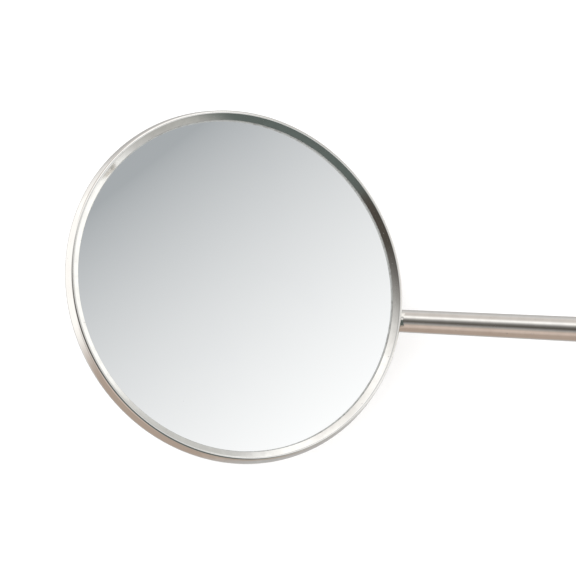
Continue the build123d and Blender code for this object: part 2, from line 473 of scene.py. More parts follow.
@dataclass(frozen=True)
class CoatFinish:
    """The mirror's reflecting coat: bright, with a trace of haze, fine wipe lines and dust.

    Args:
        name: The material's name.
        colour: What the coat reflects, as a colour.
        roughness: The clean coat's roughness.
    """

    name: str = "mirror_coat"
    colour: Colour = (0.955, 0.965, 0.965)
    roughness: float = 0.012

    def material(self, groups: EffectGroups, axis: TurningAxis) -> bpy.types.Material:
        """Make the material.

        Args:
            groups: The shared effects.
            axis: The mirror's own axis.

        Returns:
            The material.
        """
        made, sheet = start_material(self.name)
        place_mm = millimetres_about(sheet, axis)
        haze = sheet.group(groups.marks, {"Vector": place_mm, "Scale": 0.16, "Share": 0.48})
        dust = sheet.group(groups.specks, {"Vector": place_mm, "Per mm": 1.3, "Size": 0.035})
        stretched = sheet.add(
            "ShaderNodeMapping", {0: place_mm, "Rotation": (0, 0, 0.7), "Scale": (0.3, 22.0, 1.0)}
        )
        wipes = sheet.add("ShaderNodeTexNoise", {"Vector": stretched.outputs[0], "Scale": 0.5, "Detail": 2.0})
        lines = sheet.ramp(wipes.outputs[0], 0.66, 0.74, 0.0, 1.0)
        clean = (*self.colour, 1.0)
        haze_share = sheet.math("MULTIPLY", haze.outputs["Mask"], 0.12)
        hazed = sheet.blend(haze_share, clean, (0.90, 0.91, 0.93, 1.0))
        dust_share = sheet.math("MULTIPLY", dust.outputs["Mask"], 0.25)
        dusted = sheet.blend(dust_share, hazed, (0.72, 0.72, 0.70, 1.0))
        rough = sheet.math("MULTIPLY_ADD", haze.outputs["Mask"], 0.02, self.roughness)
        rough = sheet.math("MULTIPLY_ADD", lines, 0.03, rough)
        rough = sheet.math("MULTIPLY_ADD", dust.outputs["Mask"], 0.3, rough)
        sheet.principled({"Base Color": dusted, "Metallic": 1.0, "Roughness": rough})
        return made


@dataclass(frozen=True)
class SoftFinish:
    """A matt material without metal: cement, rubber or fluoropolymer.

    Args:
        name: The material's name.
        colour: Its clean colour.
        mottle: The colour that it is mottled with.
        roughness: Its roughness.
        coarseness: How many mottles there are in a millimetre.
    """

    name: str
    colour: Colour
    mottle: Colour
    roughness: float
    coarseness: float = 2.5

    def material(self, groups: EffectGroups, axis: TurningAxis) -> bpy.types.Material:
        """Make the material.

        Args:
            groups: The shared effects.
            axis: The axis of the piece that wears it.

        Returns:
            The material.
        """
        made, sheet = start_material(self.name)
        place_mm = millimetres_about(sheet, axis)
        marks = sheet.group(groups.marks, {"Vector": place_mm, "Scale": self.coarseness, "Share": 0.5})
        specks = sheet.group(groups.specks, {"Vector": place_mm, "Per mm": 6.0, "Size": 0.25})
        colour = sheet.blend(marks.outputs["Mask"], (*self.colour, 1.0), (*self.mottle, 1.0))
        rough = sheet.math("MULTIPLY_ADD", marks.outputs["Mask"], 0.12, self.roughness)
        bump = sheet.add(
            "ShaderNodeBump", {"Height": specks.outputs["Mask"], "Strength": 0.5, "Distance": 4e-6}
        )
        sheet.principled({"Base Color": colour, "Roughness": rough, "Normal": bump.outputs[0]})
        return made


@dataclass(frozen=True)
class GlassFinish:
    """Float glass, tinted green and mottled at random with a paler, duller green-grey."""

    name: str = "float_glass"

    def material(self, groups: EffectGroups, axis: TurningAxis) -> bpy.types.Material:
        """Make the material.

        Args:
            groups: The shared effects.
            axis: The mirror's own axis.

        Returns:
            The material.
        """
        made, sheet = start_material(self.name)
        place_mm = millimetres_about(sheet, axis)
        ground = sheet.group(groups.marks, {"Vector": place_mm, "Scale": 3.0, "Share": 0.55})
        tint = sheet.blend(ground.outputs["Mask"], (0.70, 0.86, 0.80, 1.0), (0.82, 0.90, 0.87, 1.0))
        rough = sheet.math("MULTIPLY_ADD", ground.outputs["Mask"], 0.2, 0.05)
        sheet.principled({"Base Color": tint, "Roughness": rough, "IOR": 1.52, "Transmission Weight": 1.0})
        return made


def millimetres_about(sheet: NodeSheet, axis: TurningAxis) -> bpy.types.NodeSocket:
    """Lay a pattern's coordinates on an axis.

    Args:
        sheet: The sheet that the nodes go on.
        axis: The axis that becomes the pattern's Z.

    Returns:
        The place of each point, in millimetres from the axis's origin.
    """
    where = sheet.add("ShaderNodeTexCoord").outputs["Object"]
    mapping = sheet.add(
        "ShaderNodeMapping",
        {0: where, "Location": axis.origin, "Rotation": axis.turn(), "Scale": (MM, MM, MM)},
        vector_type="TEXTURE",
    )
    return mapping.outputs[0]


POLISHED_CUP = SteelFinish(
    "polished_cup_steel", (0.90, 0.89, 0.87), (0.78, 0.74, 0.70), 0.08, Grain.SPUN,
    grain_depth=0.15e-6, grain_roughness=0.05, mark_strength=0.2,
)
DRAWN_STEM = SteelFinish(
    "drawn_stem_steel", (0.88, 0.865, 0.84), (0.76, 0.72, 0.68), 0.06, Grain.DRAWN,
    grain_depth=0.2e-6, grain_roughness=0.04,
)
WELD_METAL = SteelFinish(
    "ground_weld_metal", (0.74, 0.69, 0.61), (0.55, 0.45, 0.33), 0.26, Grain.BLASTED,
    grain_depth=2.0e-6, grain_roughness=0.12, mark_strength=0.6,
)
TURNED_STEEL = SteelFinish(
    "turned_steel", (0.80, 0.79, 0.775), (0.70, 0.67, 0.64), 0.17, Grain.TURNED,
    grain_depth=0.8e-6, grain_roughness=0.08,
)
SATIN_HANDLE = SteelFinish(
    "satin_handle_steel", (0.74, 0.735, 0.725), (0.64, 0.615, 0.59), 0.27, Grain.DRAWN,
    grain_depth=0.9e-6, grain_roughness=0.12, mark_strength=0.3,
)
GREY_CEMENT = SoftFinish("grey_cement", (0.42, 0.43, 0.42), (0.30, 0.30, 0.29), 0.55)
DARK_RUBBER = SoftFinish("dark_rubber", (0.035, 0.035, 0.037), (0.06, 0.06, 0.06), 0.70)
WHITE_POLYMER = SoftFinish("white_fluoropolymer", (0.86, 0.86, 0.83), (0.78, 0.77, 0.73), 0.42)


# ---------------------------------------------------------------- the mirror head


@dataclass
class MirrorHead:
    """The round head: cup, glass, reflecting coat, pad and seal. Heights run down from the top of the lip.

    Args:
        groups: The shared shader effects.
        rim_radius: The cup's outer radius.
        face_angle: How far the face leans back towards the hand, in degrees.
        sheet: How thick the cup's steel is.
        lip_length: How long the lip's straight slope is, from its free edge to the bend.
        lip_slope: How steeply the lip falls towards the glass, in degrees.
        crimp_inset: How far inside the rim's outer radius the bend lies.
        crimp_radius: The outer radius of the bend where the wall is folded in over the glass.
        wall_lean: How far the wall leans in, in degrees.
        heel_radius: The outer radius of the bend at the foot of the wall.
        heel_angle: How steep the slope behind the heel is, in degrees.
        head_depth: The cup's whole depth.
        back_corner_radius: The radius where the slope meets the flat back.
        coat_radius: The reflecting coat's radius.
        coat_thickness: How thick the coat is.
        glass_recess: How far the coat lies below the top of the bend.
        seal_inner_radius: The radius of the seal's inner edge.
        seal_height: How high the seal stands on the coat.
        glass_radius: The glass's radius.
        pad_bulge: How far the pad's rim bulges.
    """

    groups: EffectGroups
    rim_radius: float = 12.0 * MM
    face_angle: float = 32.0
    sheet: float = 0.15 * MM
    lip_length: float = 0.42 * MM
    lip_slope: float = 32.0
    crimp_inset: float = 0.1 * MM
    crimp_radius: float = 0.17 * MM
    wall_lean: float = 12.0
    heel_radius: float = 0.6 * MM
    heel_angle: float = 45.0
    head_depth: float = 2.05 * MM
    back_corner_radius: float = 0.5 * MM
    coat_radius: float = 11.6 * MM
    coat_thickness: float = 0.03 * MM
    glass_recess: float = 0.42 * MM
    seal_inner_radius: float = 11.2 * MM
    seal_height: float = 0.045 * MM
    glass_radius: float = 11.7 * MM
    pad_bulge: float = 0.12 * MM
    axis: TurningAxis = field(init=False)

    def __post_init__(self) -> None:
        """Find the head's axis from the coat, whose middle lies a known depth under the lip's top."""
        lean = radians(self.face_angle)
        normal = Vector((-sin(lean), 0.0, cos(lean)))
        low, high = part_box("reflective_coat")
        coat_middle = self.coat_top - self.coat_thickness / 2
        self.axis = TurningAxis((low + high) / 2 - normal * coat_middle, normal)

    @property
    def coat_top(self) -> float:
        """The height of the reflecting surface."""
        return -self.glass_recess

    def outline(self, inward: float) -> list[Ring]:
        """Follow the cup's section from the lip's edge to the flat of its back.

        Args:
            inward: How far inside the outer surface the outline runs.

        Returns:
            The rings, ending a little way in on the flat.
        """
        crimp_centre = (self.rim_radius - self.crimp_inset - self.crimp_radius, -self.crimp_radius)
        bend = arc(crimp_centre, self.crimp_radius - inward, 90 + self.lip_slope, self.wall_lean, 12)
        fall = radians(self.lip_slope)
        lip_edge = bend[0][0] - self.lip_length * cos(fall), bend[0][1] - self.lip_length * sin(fall)
        lean = radians(self.wall_lean)
        heel_radius_at = self.rim_radius - self.heel_radius
        run = crimp_centre[0] - heel_radius_at
        drop = (self.heel_radius - self.crimp_radius) / sin(lean) - run / tan(lean)
        heel_centre = (heel_radius_at, crimp_centre[1] - drop)
        slope = radians(self.heel_angle)
        heel_end = (
            heel_centre[0] + self.heel_radius * cos(slope),
            heel_centre[1] - self.heel_radius * sin(slope),
        )
        corner = heel_end[0] - (self.head_depth + heel_end[1]) / tan(slope)
        flat_end = corner - self.back_corner_radius * tan(slope / 2)
        corner_centre = (flat_end, self.back_corner_radius - self.head_depth)
        return [
            lip_edge,
            *bend,
            *arc(heel_centre, self.heel_radius - inward, self.wall_lean, -self.heel_angle, 10),
            *arc(corner_centre, self.back_corner_radius - inward, -self.heel_angle, -90, 8),
            (flat_end - 0.2 * MM, inward - self.head_depth),
        ]

    def space(self) -> bpy.types.Object:
        """Return a cutter that fills the cup's outside and all that lies behind its back."""
        outside = self.outline(0.0)
        behind = [(2 * self.rim_radius, -self.head_depth), (2 * self.rim_radius, -self.rim_radius)]
        return turned("head_space", self.axis, outside[:-1] + behind)

    def build(self) -> None:
        """Model and dress every piece of the head."""
        self._cup()
        self._coat()
        self._seal()
        self._glass()
        self._pad()

    def _cup(self) -> None:
        """Press the cup from one sheet: up the inside, over the folded lip and down to the back."""
        inside = self.outline(self.sheet)[::-1]
        outside = self.outline(0.0)
        cup = turned("crimped_cup", self.axis, inside + outside)
        place(cup, "mirror_cup", "head", POLISHED_CUP.material(self.groups, self.axis))

    def _coat(self) -> None:
        """Lay the coat: a thin disc whose flat face is the mirror."""
        edge = 0.01 * MM
        border = self.coat_radius - 0.2 * MM
        bottom = self.coat_top - self.coat_thickness
        rings = [
            (border, bottom),
            (self.coat_radius, bottom),
            (self.coat_radius, self.coat_top - edge),
            (self.coat_radius - edge, self.coat_top),
            (border, self.coat_top),
        ]
        coat = turned("mirror_face", self.axis, rings)
        place(coat, "reflective_coat", "head", CoatFinish().material(self.groups, self.axis))

    def _seal(self) -> None:
        """Run the bead of cement, with a hollow face, in the corner under the lip."""
        top = self.coat_top + self.seal_height
        lip_inner = self.coat_radius - 0.02 * MM
        foot = (self.seal_inner_radius, self.coat_top)
        rings = [
            foot,
            (self.seal_inner_radius + 0.03 * MM, self.coat_top + 0.6 * self.seal_height),
            (self.seal_inner_radius + 0.08 * MM, top),
            (lip_inner, self.coat_top + 0.01 * MM),
            (lip_inner, self.coat_top),
            foot,
        ]
        seal = turned("seal_bead", self.axis, rings, Ends.JOINED)
        place(seal, "lip_seal", "head", GREY_CEMENT.material(self.groups, self.axis))

    def _glass(self) -> None:
        """Cut the round glass, with its rear edge bevelled for the cup's heel."""
        low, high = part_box("mirror_glass")
        middle = ((low + high) / 2 - self.axis.origin).dot(self.axis.along)
        top = self.coat_top - self.coat_thickness
        bottom = 2 * middle - top
        front_bevel, rear_bevel = 0.06 * MM, 0.4 * MM
        rings = [
            (self.glass_radius - rear_bevel, bottom),
            (self.glass_radius, bottom + rear_bevel),
            (self.glass_radius, top - front_bevel),
            (self.glass_radius - front_bevel, top),
        ]
        glass = turned("glass_plate", self.axis, rings)
        place(glass, "mirror_glass", "head", GlassFinish().material(self.groups, self.axis))

    def _pad(self) -> None:
        """Cut the pad that presses the glass forward: a flat disc whose rim bulges under load."""
        low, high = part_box("cushion_pad")
        radius = (high.y - low.y) / 2
        middle = ((low + high) / 2 - self.axis.origin).dot(self.axis.along)
        floor = self.sheet - self.head_depth
        thickness = 2 * (middle - floor)
        rim = [
            (radius - self.pad_bulge * (1 - cos(a)), middle + thickness / 2 * sin(a))
            for a in (radians(-90 + 22.5 * i) for i in range(9))
        ]
        pad = turned("rubber_pad", self.axis, rim)
        place(pad, "cushion_pad", "head", DARK_RUBBER.material(self.groups, self.axis))


# ---------------------------------------------------------------- stem and screw joint


@dataclass
class StemUnit:
    """The slender stem, its weld to the cup and its threaded ferrule. Heights run along the handle's axis.

    Args:
        groups: The shared shader effects.
        head: The head that the stem carries.
        axis: The handle's axis, with its origin at the front face of the nose.
        washer_thickness: How thick the washer is.
        ferrule_length: The ferrule's length without its stud.
        shoulder_radius: The ferrule's largest radius.
        shoulder_length: The length of its straight shoulder.
        ferrule_tip_radius: Its radius where the stem enters.
        socket_depth: How deep the stem sits in it.
        edge_rounding: The rounding of its shoulder's edges.
        braze_radius: The radius of the braze's hollow face.
        stem_reach: From the nose to where the stem's taper ends.
        stem_head_radius: The stem's radius there.
        stem_handle_radius: The stem's radius in the ferrule.
        stud_length: How far the stud enters the nose.
        thread_radius: The outer radius of the thread.
        thread_pitch: The travel for each turn.
        thread_depth: The height of a thread ridge.
        stud_tip_bevel: The bevel at the stud's tip.
        weld_radius: The radius of the weld's bead.
        weld_inset: How far past the taper's end the bead's middle lies.
    """

    groups: EffectGroups
    head: MirrorHead
    axis: TurningAxis
    washer_thickness: float = 0.4 * MM
    ferrule_length: float = 7.0 * MM
    shoulder_radius: float = 2.0 * MM
    shoulder_length: float = 1.4 * MM
    ferrule_tip_radius: float = 1.3 * MM
    socket_depth: float = 4.5 * MM
    edge_rounding: float = 0.12 * MM
    braze_radius: float = 0.3 * MM
    stem_reach: float = 38.0 * MM
    stem_head_radius: float = 0.76 * MM
    stem_handle_radius: float = 0.95 * MM
    stud_length: float = 6.0 * MM
    thread_radius: float = 1.25 * MM
    thread_pitch: float = 0.45 * MM
    thread_depth: float = 0.27 * MM
    stud_tip_bevel: float = 0.3 * MM
    weld_radius: float = 1.1 * MM
    weld_inset: float = 0.6 * MM

    @property
    def ferrule_end(self) -> float:
        """The height of the ferrule's end face, where the stem enters."""
        return self.washer_thickness + self.ferrule_length

    def build(self) -> None:
        """Model and dress the stem, its weld, the ferrule, the braze and the washer."""
        rod = self._rod()
        self._weld(rod)
        cut(rod, self.head.space())
        place(rod, "stem", "head", DRAWN_STEM.material(self.groups, self.axis))
        self._ferrule()
        self._braze()
        self._washer()

    def _rod(self) -> bpy.types.Object:
        """Taper the rod, its root still running on through the cup."""
        socket = self.ferrule_end - self.socket_depth
        past_rim = self.stem_reach + self.head.rim_radius / 2
        rings = [
            (self.stem_handle_radius, socket),
            (self.stem_handle_radius, self.ferrule_end),
            (self.stem_head_radius, self.stem_reach),
            (self.stem_head_radius, past_rim),
        ]
        return turned("stem_rod", self.axis, rings, segments=96)

    def _weld(self, rod: bpy.types.Object) -> None:
        """Lay the bead of weld round the root and trim it to the rod and the cup."""
        bpy.ops.object.select_all(action="DESELECT")
        middle = self.axis.point(self.stem_reach + self.weld_inset)
        bpy.ops.mesh.primitive_ico_sphere_add(subdivisions=5, radius=self.weld_radius, location=middle)
        bead = bpy.context.object
        bead.name = "root_bead"
        bpy.ops.object.transform_apply(location=True, rotation=True, scale=True)
        cut(bead, rod, keep_cutter=True)
        cut(bead, self.head.space())
        place(bead, "root_weld", "head", WELD_METAL.material(self.groups, self.axis))

    def _ferrule(self) -> None:
        """Turn the ferrule, bore its socket and cut the thread on its stud."""
        core = self.thread_radius - self.thread_depth
        shoulder_end = self.washer_thickness + self.shoulder_length
        rounding = self.edge_rounding
        front_corner = (self.shoulder_radius - rounding, self.washer_thickness + rounding)
        rear_corner = (self.shoulder_radius - rounding, shoulder_end - rounding)
        body = turned(
            "ferrule_body",
            self.axis,
            [
                (core - self.stud_tip_bevel, -self.stud_length),
                (core, self.stud_tip_bevel - self.stud_length),
                (core, self.washer_thickness),
                *arc(front_corner, rounding, -90, 0, 4),
                *arc(rear_corner, rounding, 0, 83, 4),
                (self.ferrule_tip_radius + 0.02 * MM, self.ferrule_end - 0.04 * MM),
                (self.ferrule_tip_radius - 0.03 * MM, self.ferrule_end),
                (self.stem_handle_radius, self.ferrule_end),
                (self.stem_handle_radius, self.ferrule_end - self.socket_depth),
            ],
            segments=128,
        )
        ferrule = joined([body, self._thread(core)])
        place(
            ferrule, "thread_ferrule", "head", TURNED_STEEL.material(self.groups, self.axis)
        )

    def _thread(self, core: float) -> bpy.types.Object:
        """Wind the thread's ridge round the stud.

        Args:
            core: The radius of the stud under the thread.

        Returns:
            The ridge, closed at both ends.
        """
        root_half = 0.18 * MM
        crest_half = 0.03 * MM
        sunk = 0.02 * MM
        ridge_turns = 11
        steps_a_turn = 64
        bpy.ops.object.select_all(action="DESELECT")
        bpy.ops.mesh.primitive_plane_add(size=1.0, location=(0, 0, 0))
        ridge = bpy.context.object
        ridge.name = "thread_ridge"
        corners = [
            Vector((-root_half, core - sunk, 0)),
            Vector((root_half, core - sunk, 0)),
            Vector((-crest_half, self.thread_radius, 0)),
            Vector((crest_half, self.thread_radius, 0)),
        ]
        for vertex, corner in zip(ridge.data.vertices, corners):
            vertex.co = corner
        winding = ridge.modifiers.new("winding", "SCREW")
        winding.axis = "X"
        winding.steps = winding.render_steps = steps_a_turn
        winding.iterations = ridge_turns
        winding.screw_offset = -self.thread_pitch
        winding.use_merge_vertices = False
        bpy.ops.object.modifier_apply(modifier=winding.name)
        bpy.ops.transform.translate(value=self.axis.point(-self.thread_pitch / 2))
        bpy.ops.object.transform_apply(location=True, rotation=True, scale=True)
        bpy.ops.object.mode_set(mode="EDIT")
        bpy.ops.mesh.select_all(action="SELECT")
        bpy.ops.mesh.remove_doubles(threshold=1e-7)
        bpy.ops.mesh.fill_holes(sides=4)
        bpy.ops.mesh.select_all(action="SELECT")
        bpy.ops.mesh.normals_make_consistent(inside=False)
        bpy.ops.object.mode_set(mode="OBJECT")
        bpy.ops.object.shade_smooth_by_angle(angle=SMOOTH_ANGLE)
        return ridge

    def _braze(self) -> None:
        """Run the hollow fillet of braze round the stem where it enters the ferrule."""
        radius = self.stem_handle_radius
        centre = (radius + self.braze_radius, self.ferrule_end + self.braze_radius)
        hollow = arc(centre, self.braze_radius, -90, -180, 6)
        rings = [(radius, self.ferrule_end), *hollow, (radius, self.ferrule_end)]
        ring = turned("braze_ring", self.axis, rings, Ends.JOINED, segments=96)
        place(ring, "braze_fillet", "head", WELD_METAL.material(self.groups, self.axis))

    def _washer(self) -> None:
        """Punch the washer, its outer edges eased by the squeeze of the joint."""
        low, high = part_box("sealing_washer")
        outer = (high.y - low.y) / 2
        inner = self.thread_radius + 0.05 * MM
        ease = 0.12 * MM
        rings = [
            (inner, 0.0),
            *arc((outer - ease, ease), ease, -90, 0, 4),
            *arc((outer - ease, self.washer_thickness - ease), ease, 0, 90, 4),
            (inner, self.washer_thickness),
            (inner, 0.0),
        ]
        washer = turned("joint_washer", self.axis, rings, Ends.JOINED, segments=128)
        place(washer, "sealing_washer", "washer", WHITE_POLYMER.material(self.groups, self.axis))


# ---------------------------------------------------------------- the handle


@dataclass
class Handle:
    """The hollow octagonal handle with its nose and plug. Heights run along its axis from the nose's face.

    Args:
        groups: The shared shader effects.
        axis: The handle's axis, with its origin at the front face of the nose.
        length: The handle's whole length.
        across_flats: The octagon's size.
        corner_rounding: The rounding of the octagon's corners.
        bore_radius: The tube's inner radius.
        end_radius: The radius that the tube's ends are turned down to.
        end_bevel_length: How far back the turned bevel runs.
        nose_length: The length of the nose in front of the tube.
        nose_front_radius: The nose's radius at its face.
        nose_back_radius: The nose's radius at the tube.
        nose_spigot_length: How far the nose reaches into the tube.
        stud_bore_radius: The radius of the hole for the stud.
        stud_bore_depth: The depth of that hole.
        bore_mouth_bevel: The bevel at its mouth.
        plug_head_radius: The plug's radius outside the tube.
        plug_rim_length: The length of the plug's straight rim.
        plug_dome_length: The height of its dome.
        plug_spigot_length: How far the plug reaches into the tube.
        edge_rounding: The rounding of turned edges.
        groove_depth: The depth of a finger groove.
        groove_width: The width of a finger groove.
        groove_pitch: From one groove to the next.
        front_grooves: How many grooves lie behind the nose.
        front_start: Where the first of them is.
        rear_grooves: How many grooves lie before the plug.
        rear_start: Where the first of them is, from the tube's rear end.
    """

    groups: EffectGroups
    axis: TurningAxis
    length: float = 112.0 * MM
    across_flats: float = 6.0 * MM
    corner_rounding: float = 0.35 * MM
    bore_radius: float = 2.4 * MM
    end_radius: float = 2.95 * MM
    end_bevel_length: float = 1.5 * MM
    nose_length: float = 9.0 * MM
    nose_front_radius: float = 2.15 * MM
    nose_back_radius: float = 2.88 * MM
    nose_spigot_length: float = 8.0 * MM
    stud_bore_radius: float = 1.3 * MM
    stud_bore_depth: float = 7.2 * MM
    bore_mouth_bevel: float = 0.2 * MM
    plug_head_radius: float = 2.85 * MM
    plug_rim_length: float = 0.8 * MM
    plug_dome_length: float = 1.6 * MM
    plug_spigot_length: float = 6.0 * MM
    edge_rounding: float = 0.12 * MM
    groove_depth: float = 0.22 * MM
    groove_width: float = 0.5 * MM
    groove_pitch: float = 1.6 * MM
    front_grooves: int = 16
    front_start: float = 15.0 * MM
    rear_grooves: int = 3
    rear_start: float = 8.0 * MM

    @property
    def tube_rear(self) -> float:
        """The height of the tube's rear end."""
        return self.plug_rim_length + self.plug_dome_length - self.length

    def build(self) -> None:
        """Model and dress the nose, the tube and the plug."""
        self._nose()
        self._tube()
        self._plug()

    def _nose(self) -> None:
        """Turn the tapered nose, with its spigot and the hole for the stud."""
        front = -self.nose_length
        mouth = self.stud_bore_radius + self.bore_mouth_bevel
        corner = (self.nose_front_radius - self.edge_rounding, -self.edge_rounding)
        rings = [
            (self.bore_radius, front - self.nose_spigot_length),
            (self.bore_radius, front),
            (self.nose_back_radius, front),
            *arc(corner, self.edge_rounding, 4, 90, 4),
            (mouth, 0.0),
            (self.stud_bore_radius, -self.bore_mouth_bevel),
            (self.stud_bore_radius, -self.stud_bore_depth),
            (0.02 * MM, -self.stud_bore_depth - self.stud_bore_radius / 2),
        ]
        nose = turned("nose_cone", self.axis, rings)
        place(nose, "handle_nose", "handle", TURNED_STEEL.material(self.groups, self.axis))

    def _tube(self) -> None:
        """Extrude the octagon, bore it, turn its ends down and cut its grooves."""
        start = -self.nose_length
        bpy.ops.object.select_all(action="DESELECT")
        bpy.ops.mesh.primitive_circle_add(
            vertices=8,
            radius=self.across_flats / 2 / cos(pi / 8),
            fill_type="NGON",
            location=self.axis.point(start),
            rotation=self.axis.turn(),
        )
        tube = bpy.context.object
        tube.name = "octagon_tube"
        bpy.ops.object.transform_apply(location=True, rotation=True, scale=True)
        bpy.ops.object.mode_set(mode="EDIT")
        bpy.ops.mesh.select_all(action="SELECT")
        bpy.ops.transform.rotate(value=pi / 8, orient_axis="X", center_override=self.axis.point(start))
        bpy.ops.mesh.bevel(
            offset=self.corner_rounding * tan(pi / 8), segments=5, affect="VERTICES", offset_type="OFFSET"
        )
        bpy.ops.mesh.select_all(action="SELECT")
        bpy.ops.mesh.extrude_region_move(
            TRANSFORM_OT_translate={"value": self.axis.along * (self.tube_rear - start)}
        )
        bpy.ops.mesh.select_all(action="SELECT")
        bpy.ops.mesh.normals_make_consistent(inside=False)
        bpy.ops.object.mode_set(mode="OBJECT")
        for cutter in self._tube_cutters():
            cut(tube, cutter)
        place(tube, "handle_tube", "handle", SATIN_HANDLE.material(self.groups, self.axis))

    def _tube_cutters(self) -> list[bpy.types.Object]:
        """Return the bore, the two end bevels and the grooves as closed cutters."""
        outside = self.across_flats
        flat = self.across_flats / 2
        bore = turned(
            "bore_cutter",
            self.axis,
            [(self.bore_radius, -self.nose_length + MM), (self.bore_radius, self.tube_rear - MM)],
        )
        sections = []
        for end, inward in ((-self.nose_length, -1), (self.tube_rear, 1)):
            reach = end + inward * self.end_bevel_length
            beyond = end - inward * 0.1 * MM
            sections.append([
                (self.end_radius, end),
                (self.end_radius, beyond),
                (outside, beyond),
                (outside, reach),
                (flat + self.groove_depth, reach),
                (self.end_radius, end),
            ])
        grooves = [-self.front_start - i * self.groove_pitch for i in range(self.front_grooves)]
        rear_first = self.tube_rear + self.rear_start
        grooves += [rear_first + i * self.groove_pitch for i in range(self.rear_grooves)]
        floor = flat - self.groove_depth
        for middle in grooves:
            sections.append([
                (floor, middle - self.groove_width / 4),
                (floor, middle + self.groove_width / 4),
                (outside, middle + self.groove_width),
                (outside, middle - self.groove_width),
                (floor, middle - self.groove_width / 4),
            ])
        rings = [turned("ring_cutter", self.axis, section, Ends.JOINED, 128) for section in sections]
        return [bore, joined(rings)]

    def _plug(self) -> None:
        """Turn the plug with its domed end and its spigot."""
        spigot_end = self.tube_rear + self.plug_spigot_length
        rim_end = self.tube_rear - self.plug_rim_length
        lead_in = 0.4 * MM
        dome_radius = (self.plug_head_radius**2 + self.plug_dome_length**2) / (2 * self.plug_dome_length)
        dome_centre = -self.length + dome_radius
        steps = 14
        tip = 0.02 * MM
        dome = []
        for i in range(steps + 1):
            radius = self.plug_head_radius + (tip - self.plug_head_radius) * i / steps
            dome.append((radius, dome_centre - sqrt(dome_radius**2 - radius**2)))
        corner = (self.plug_head_radius - self.edge_rounding, self.tube_rear - self.edge_rounding)
        rings = [
            (self.bore_radius - lead_in, spigot_end),
            (self.bore_radius, spigot_end - lead_in),
            (self.bore_radius, self.tube_rear),
            *arc(corner, self.edge_rounding, 90, 0, 4),
            (self.plug_head_radius, rim_end + 0.03 * MM),
            *dome[1:],
        ]
        plug = turned("domed_plug", self.axis, rings)
        place(plug, "end_plug", "handle", TURNED_STEEL.material(self.groups, self.axis))


# ---------------------------------------------------------------- studio and camera


@dataclass
class Viewpoint:
    """The camera: a long lens that looks steeply down on the head.

    Args:
        target: The point that the sight line is measured from.
        azimuth: The side that the camera stands on, in degrees; 0 looks along +Y.
        elevation: How high it stands, in degrees.
        roll: How far it is turned about its sight line, in degrees.
        lens: The focal length on a 36 mm sensor, in millimetres.
        width_at_target: How wide the picture is at the target.
        right: How far right of the target the picture's middle lies.
        up: How far above the target the picture's middle lies.
    """

    target: Vector
    azimuth: float = -144.158
    elevation: float = 71.698
    roll: float = 31.785
    lens: float = 400.0
    width_at_target: float = 38.28 * MM
    right: float = 3.290 * MM
    up: float = -0.244 * MM

    def axes(self) -> tuple[Vector, Vector, Vector]:
        """Return the picture's right, its up and the direction back to the camera."""
        turn, rise, roll = radians(self.azimuth), radians(self.elevation), radians(self.roll)
        back = Vector((sin(turn) * cos(rise), -cos(turn) * cos(rise), sin(rise)))
        level_right = Vector((0, 0, 1)).cross(back).normalized()
        level_up = back.cross(level_right)
        right = level_right * cos(roll) - level_up * sin(roll)
        return right, back.cross(right), back

    def toward(self, lean: float, clock: float) -> Vector:
        """Find a direction from how it looks in the picture.

        Args:
            lean: The angle between it and the way back to the camera, in degrees.
            clock: The way that it leans, in degrees anticlockwise from the picture's right.

        Returns:
            The direction, one unit long.
        """
        right, up, back = self.axes()
        side = right * cos(radians(clock)) + up * sin(radians(clock))
        return back * cos(radians(lean)) + side * sin(radians(lean))

    def build(self) -> None:
        """Make the camera and use it."""
        right, up, back = self.axes()
        sensor = 36.0
        distance = self.width_at_target * self.lens / sensor
        data = bpy.data.cameras.new("camera")
        data.lens = self.lens
        data.sensor_width = sensor
        data.clip_start, data.clip_end = 0.01, 20.0
        camera = bpy.data.objects.new("camera", data)
        place_of = self.target + right * self.right + up * self.up + back * distance
        camera.matrix_world = Matrix.LocRotScale(place_of, Matrix((right, up, back)).transposed(), None)
        bpy.context.scene.collection.objects.link(camera)
        bpy.context.scene.camera = camera


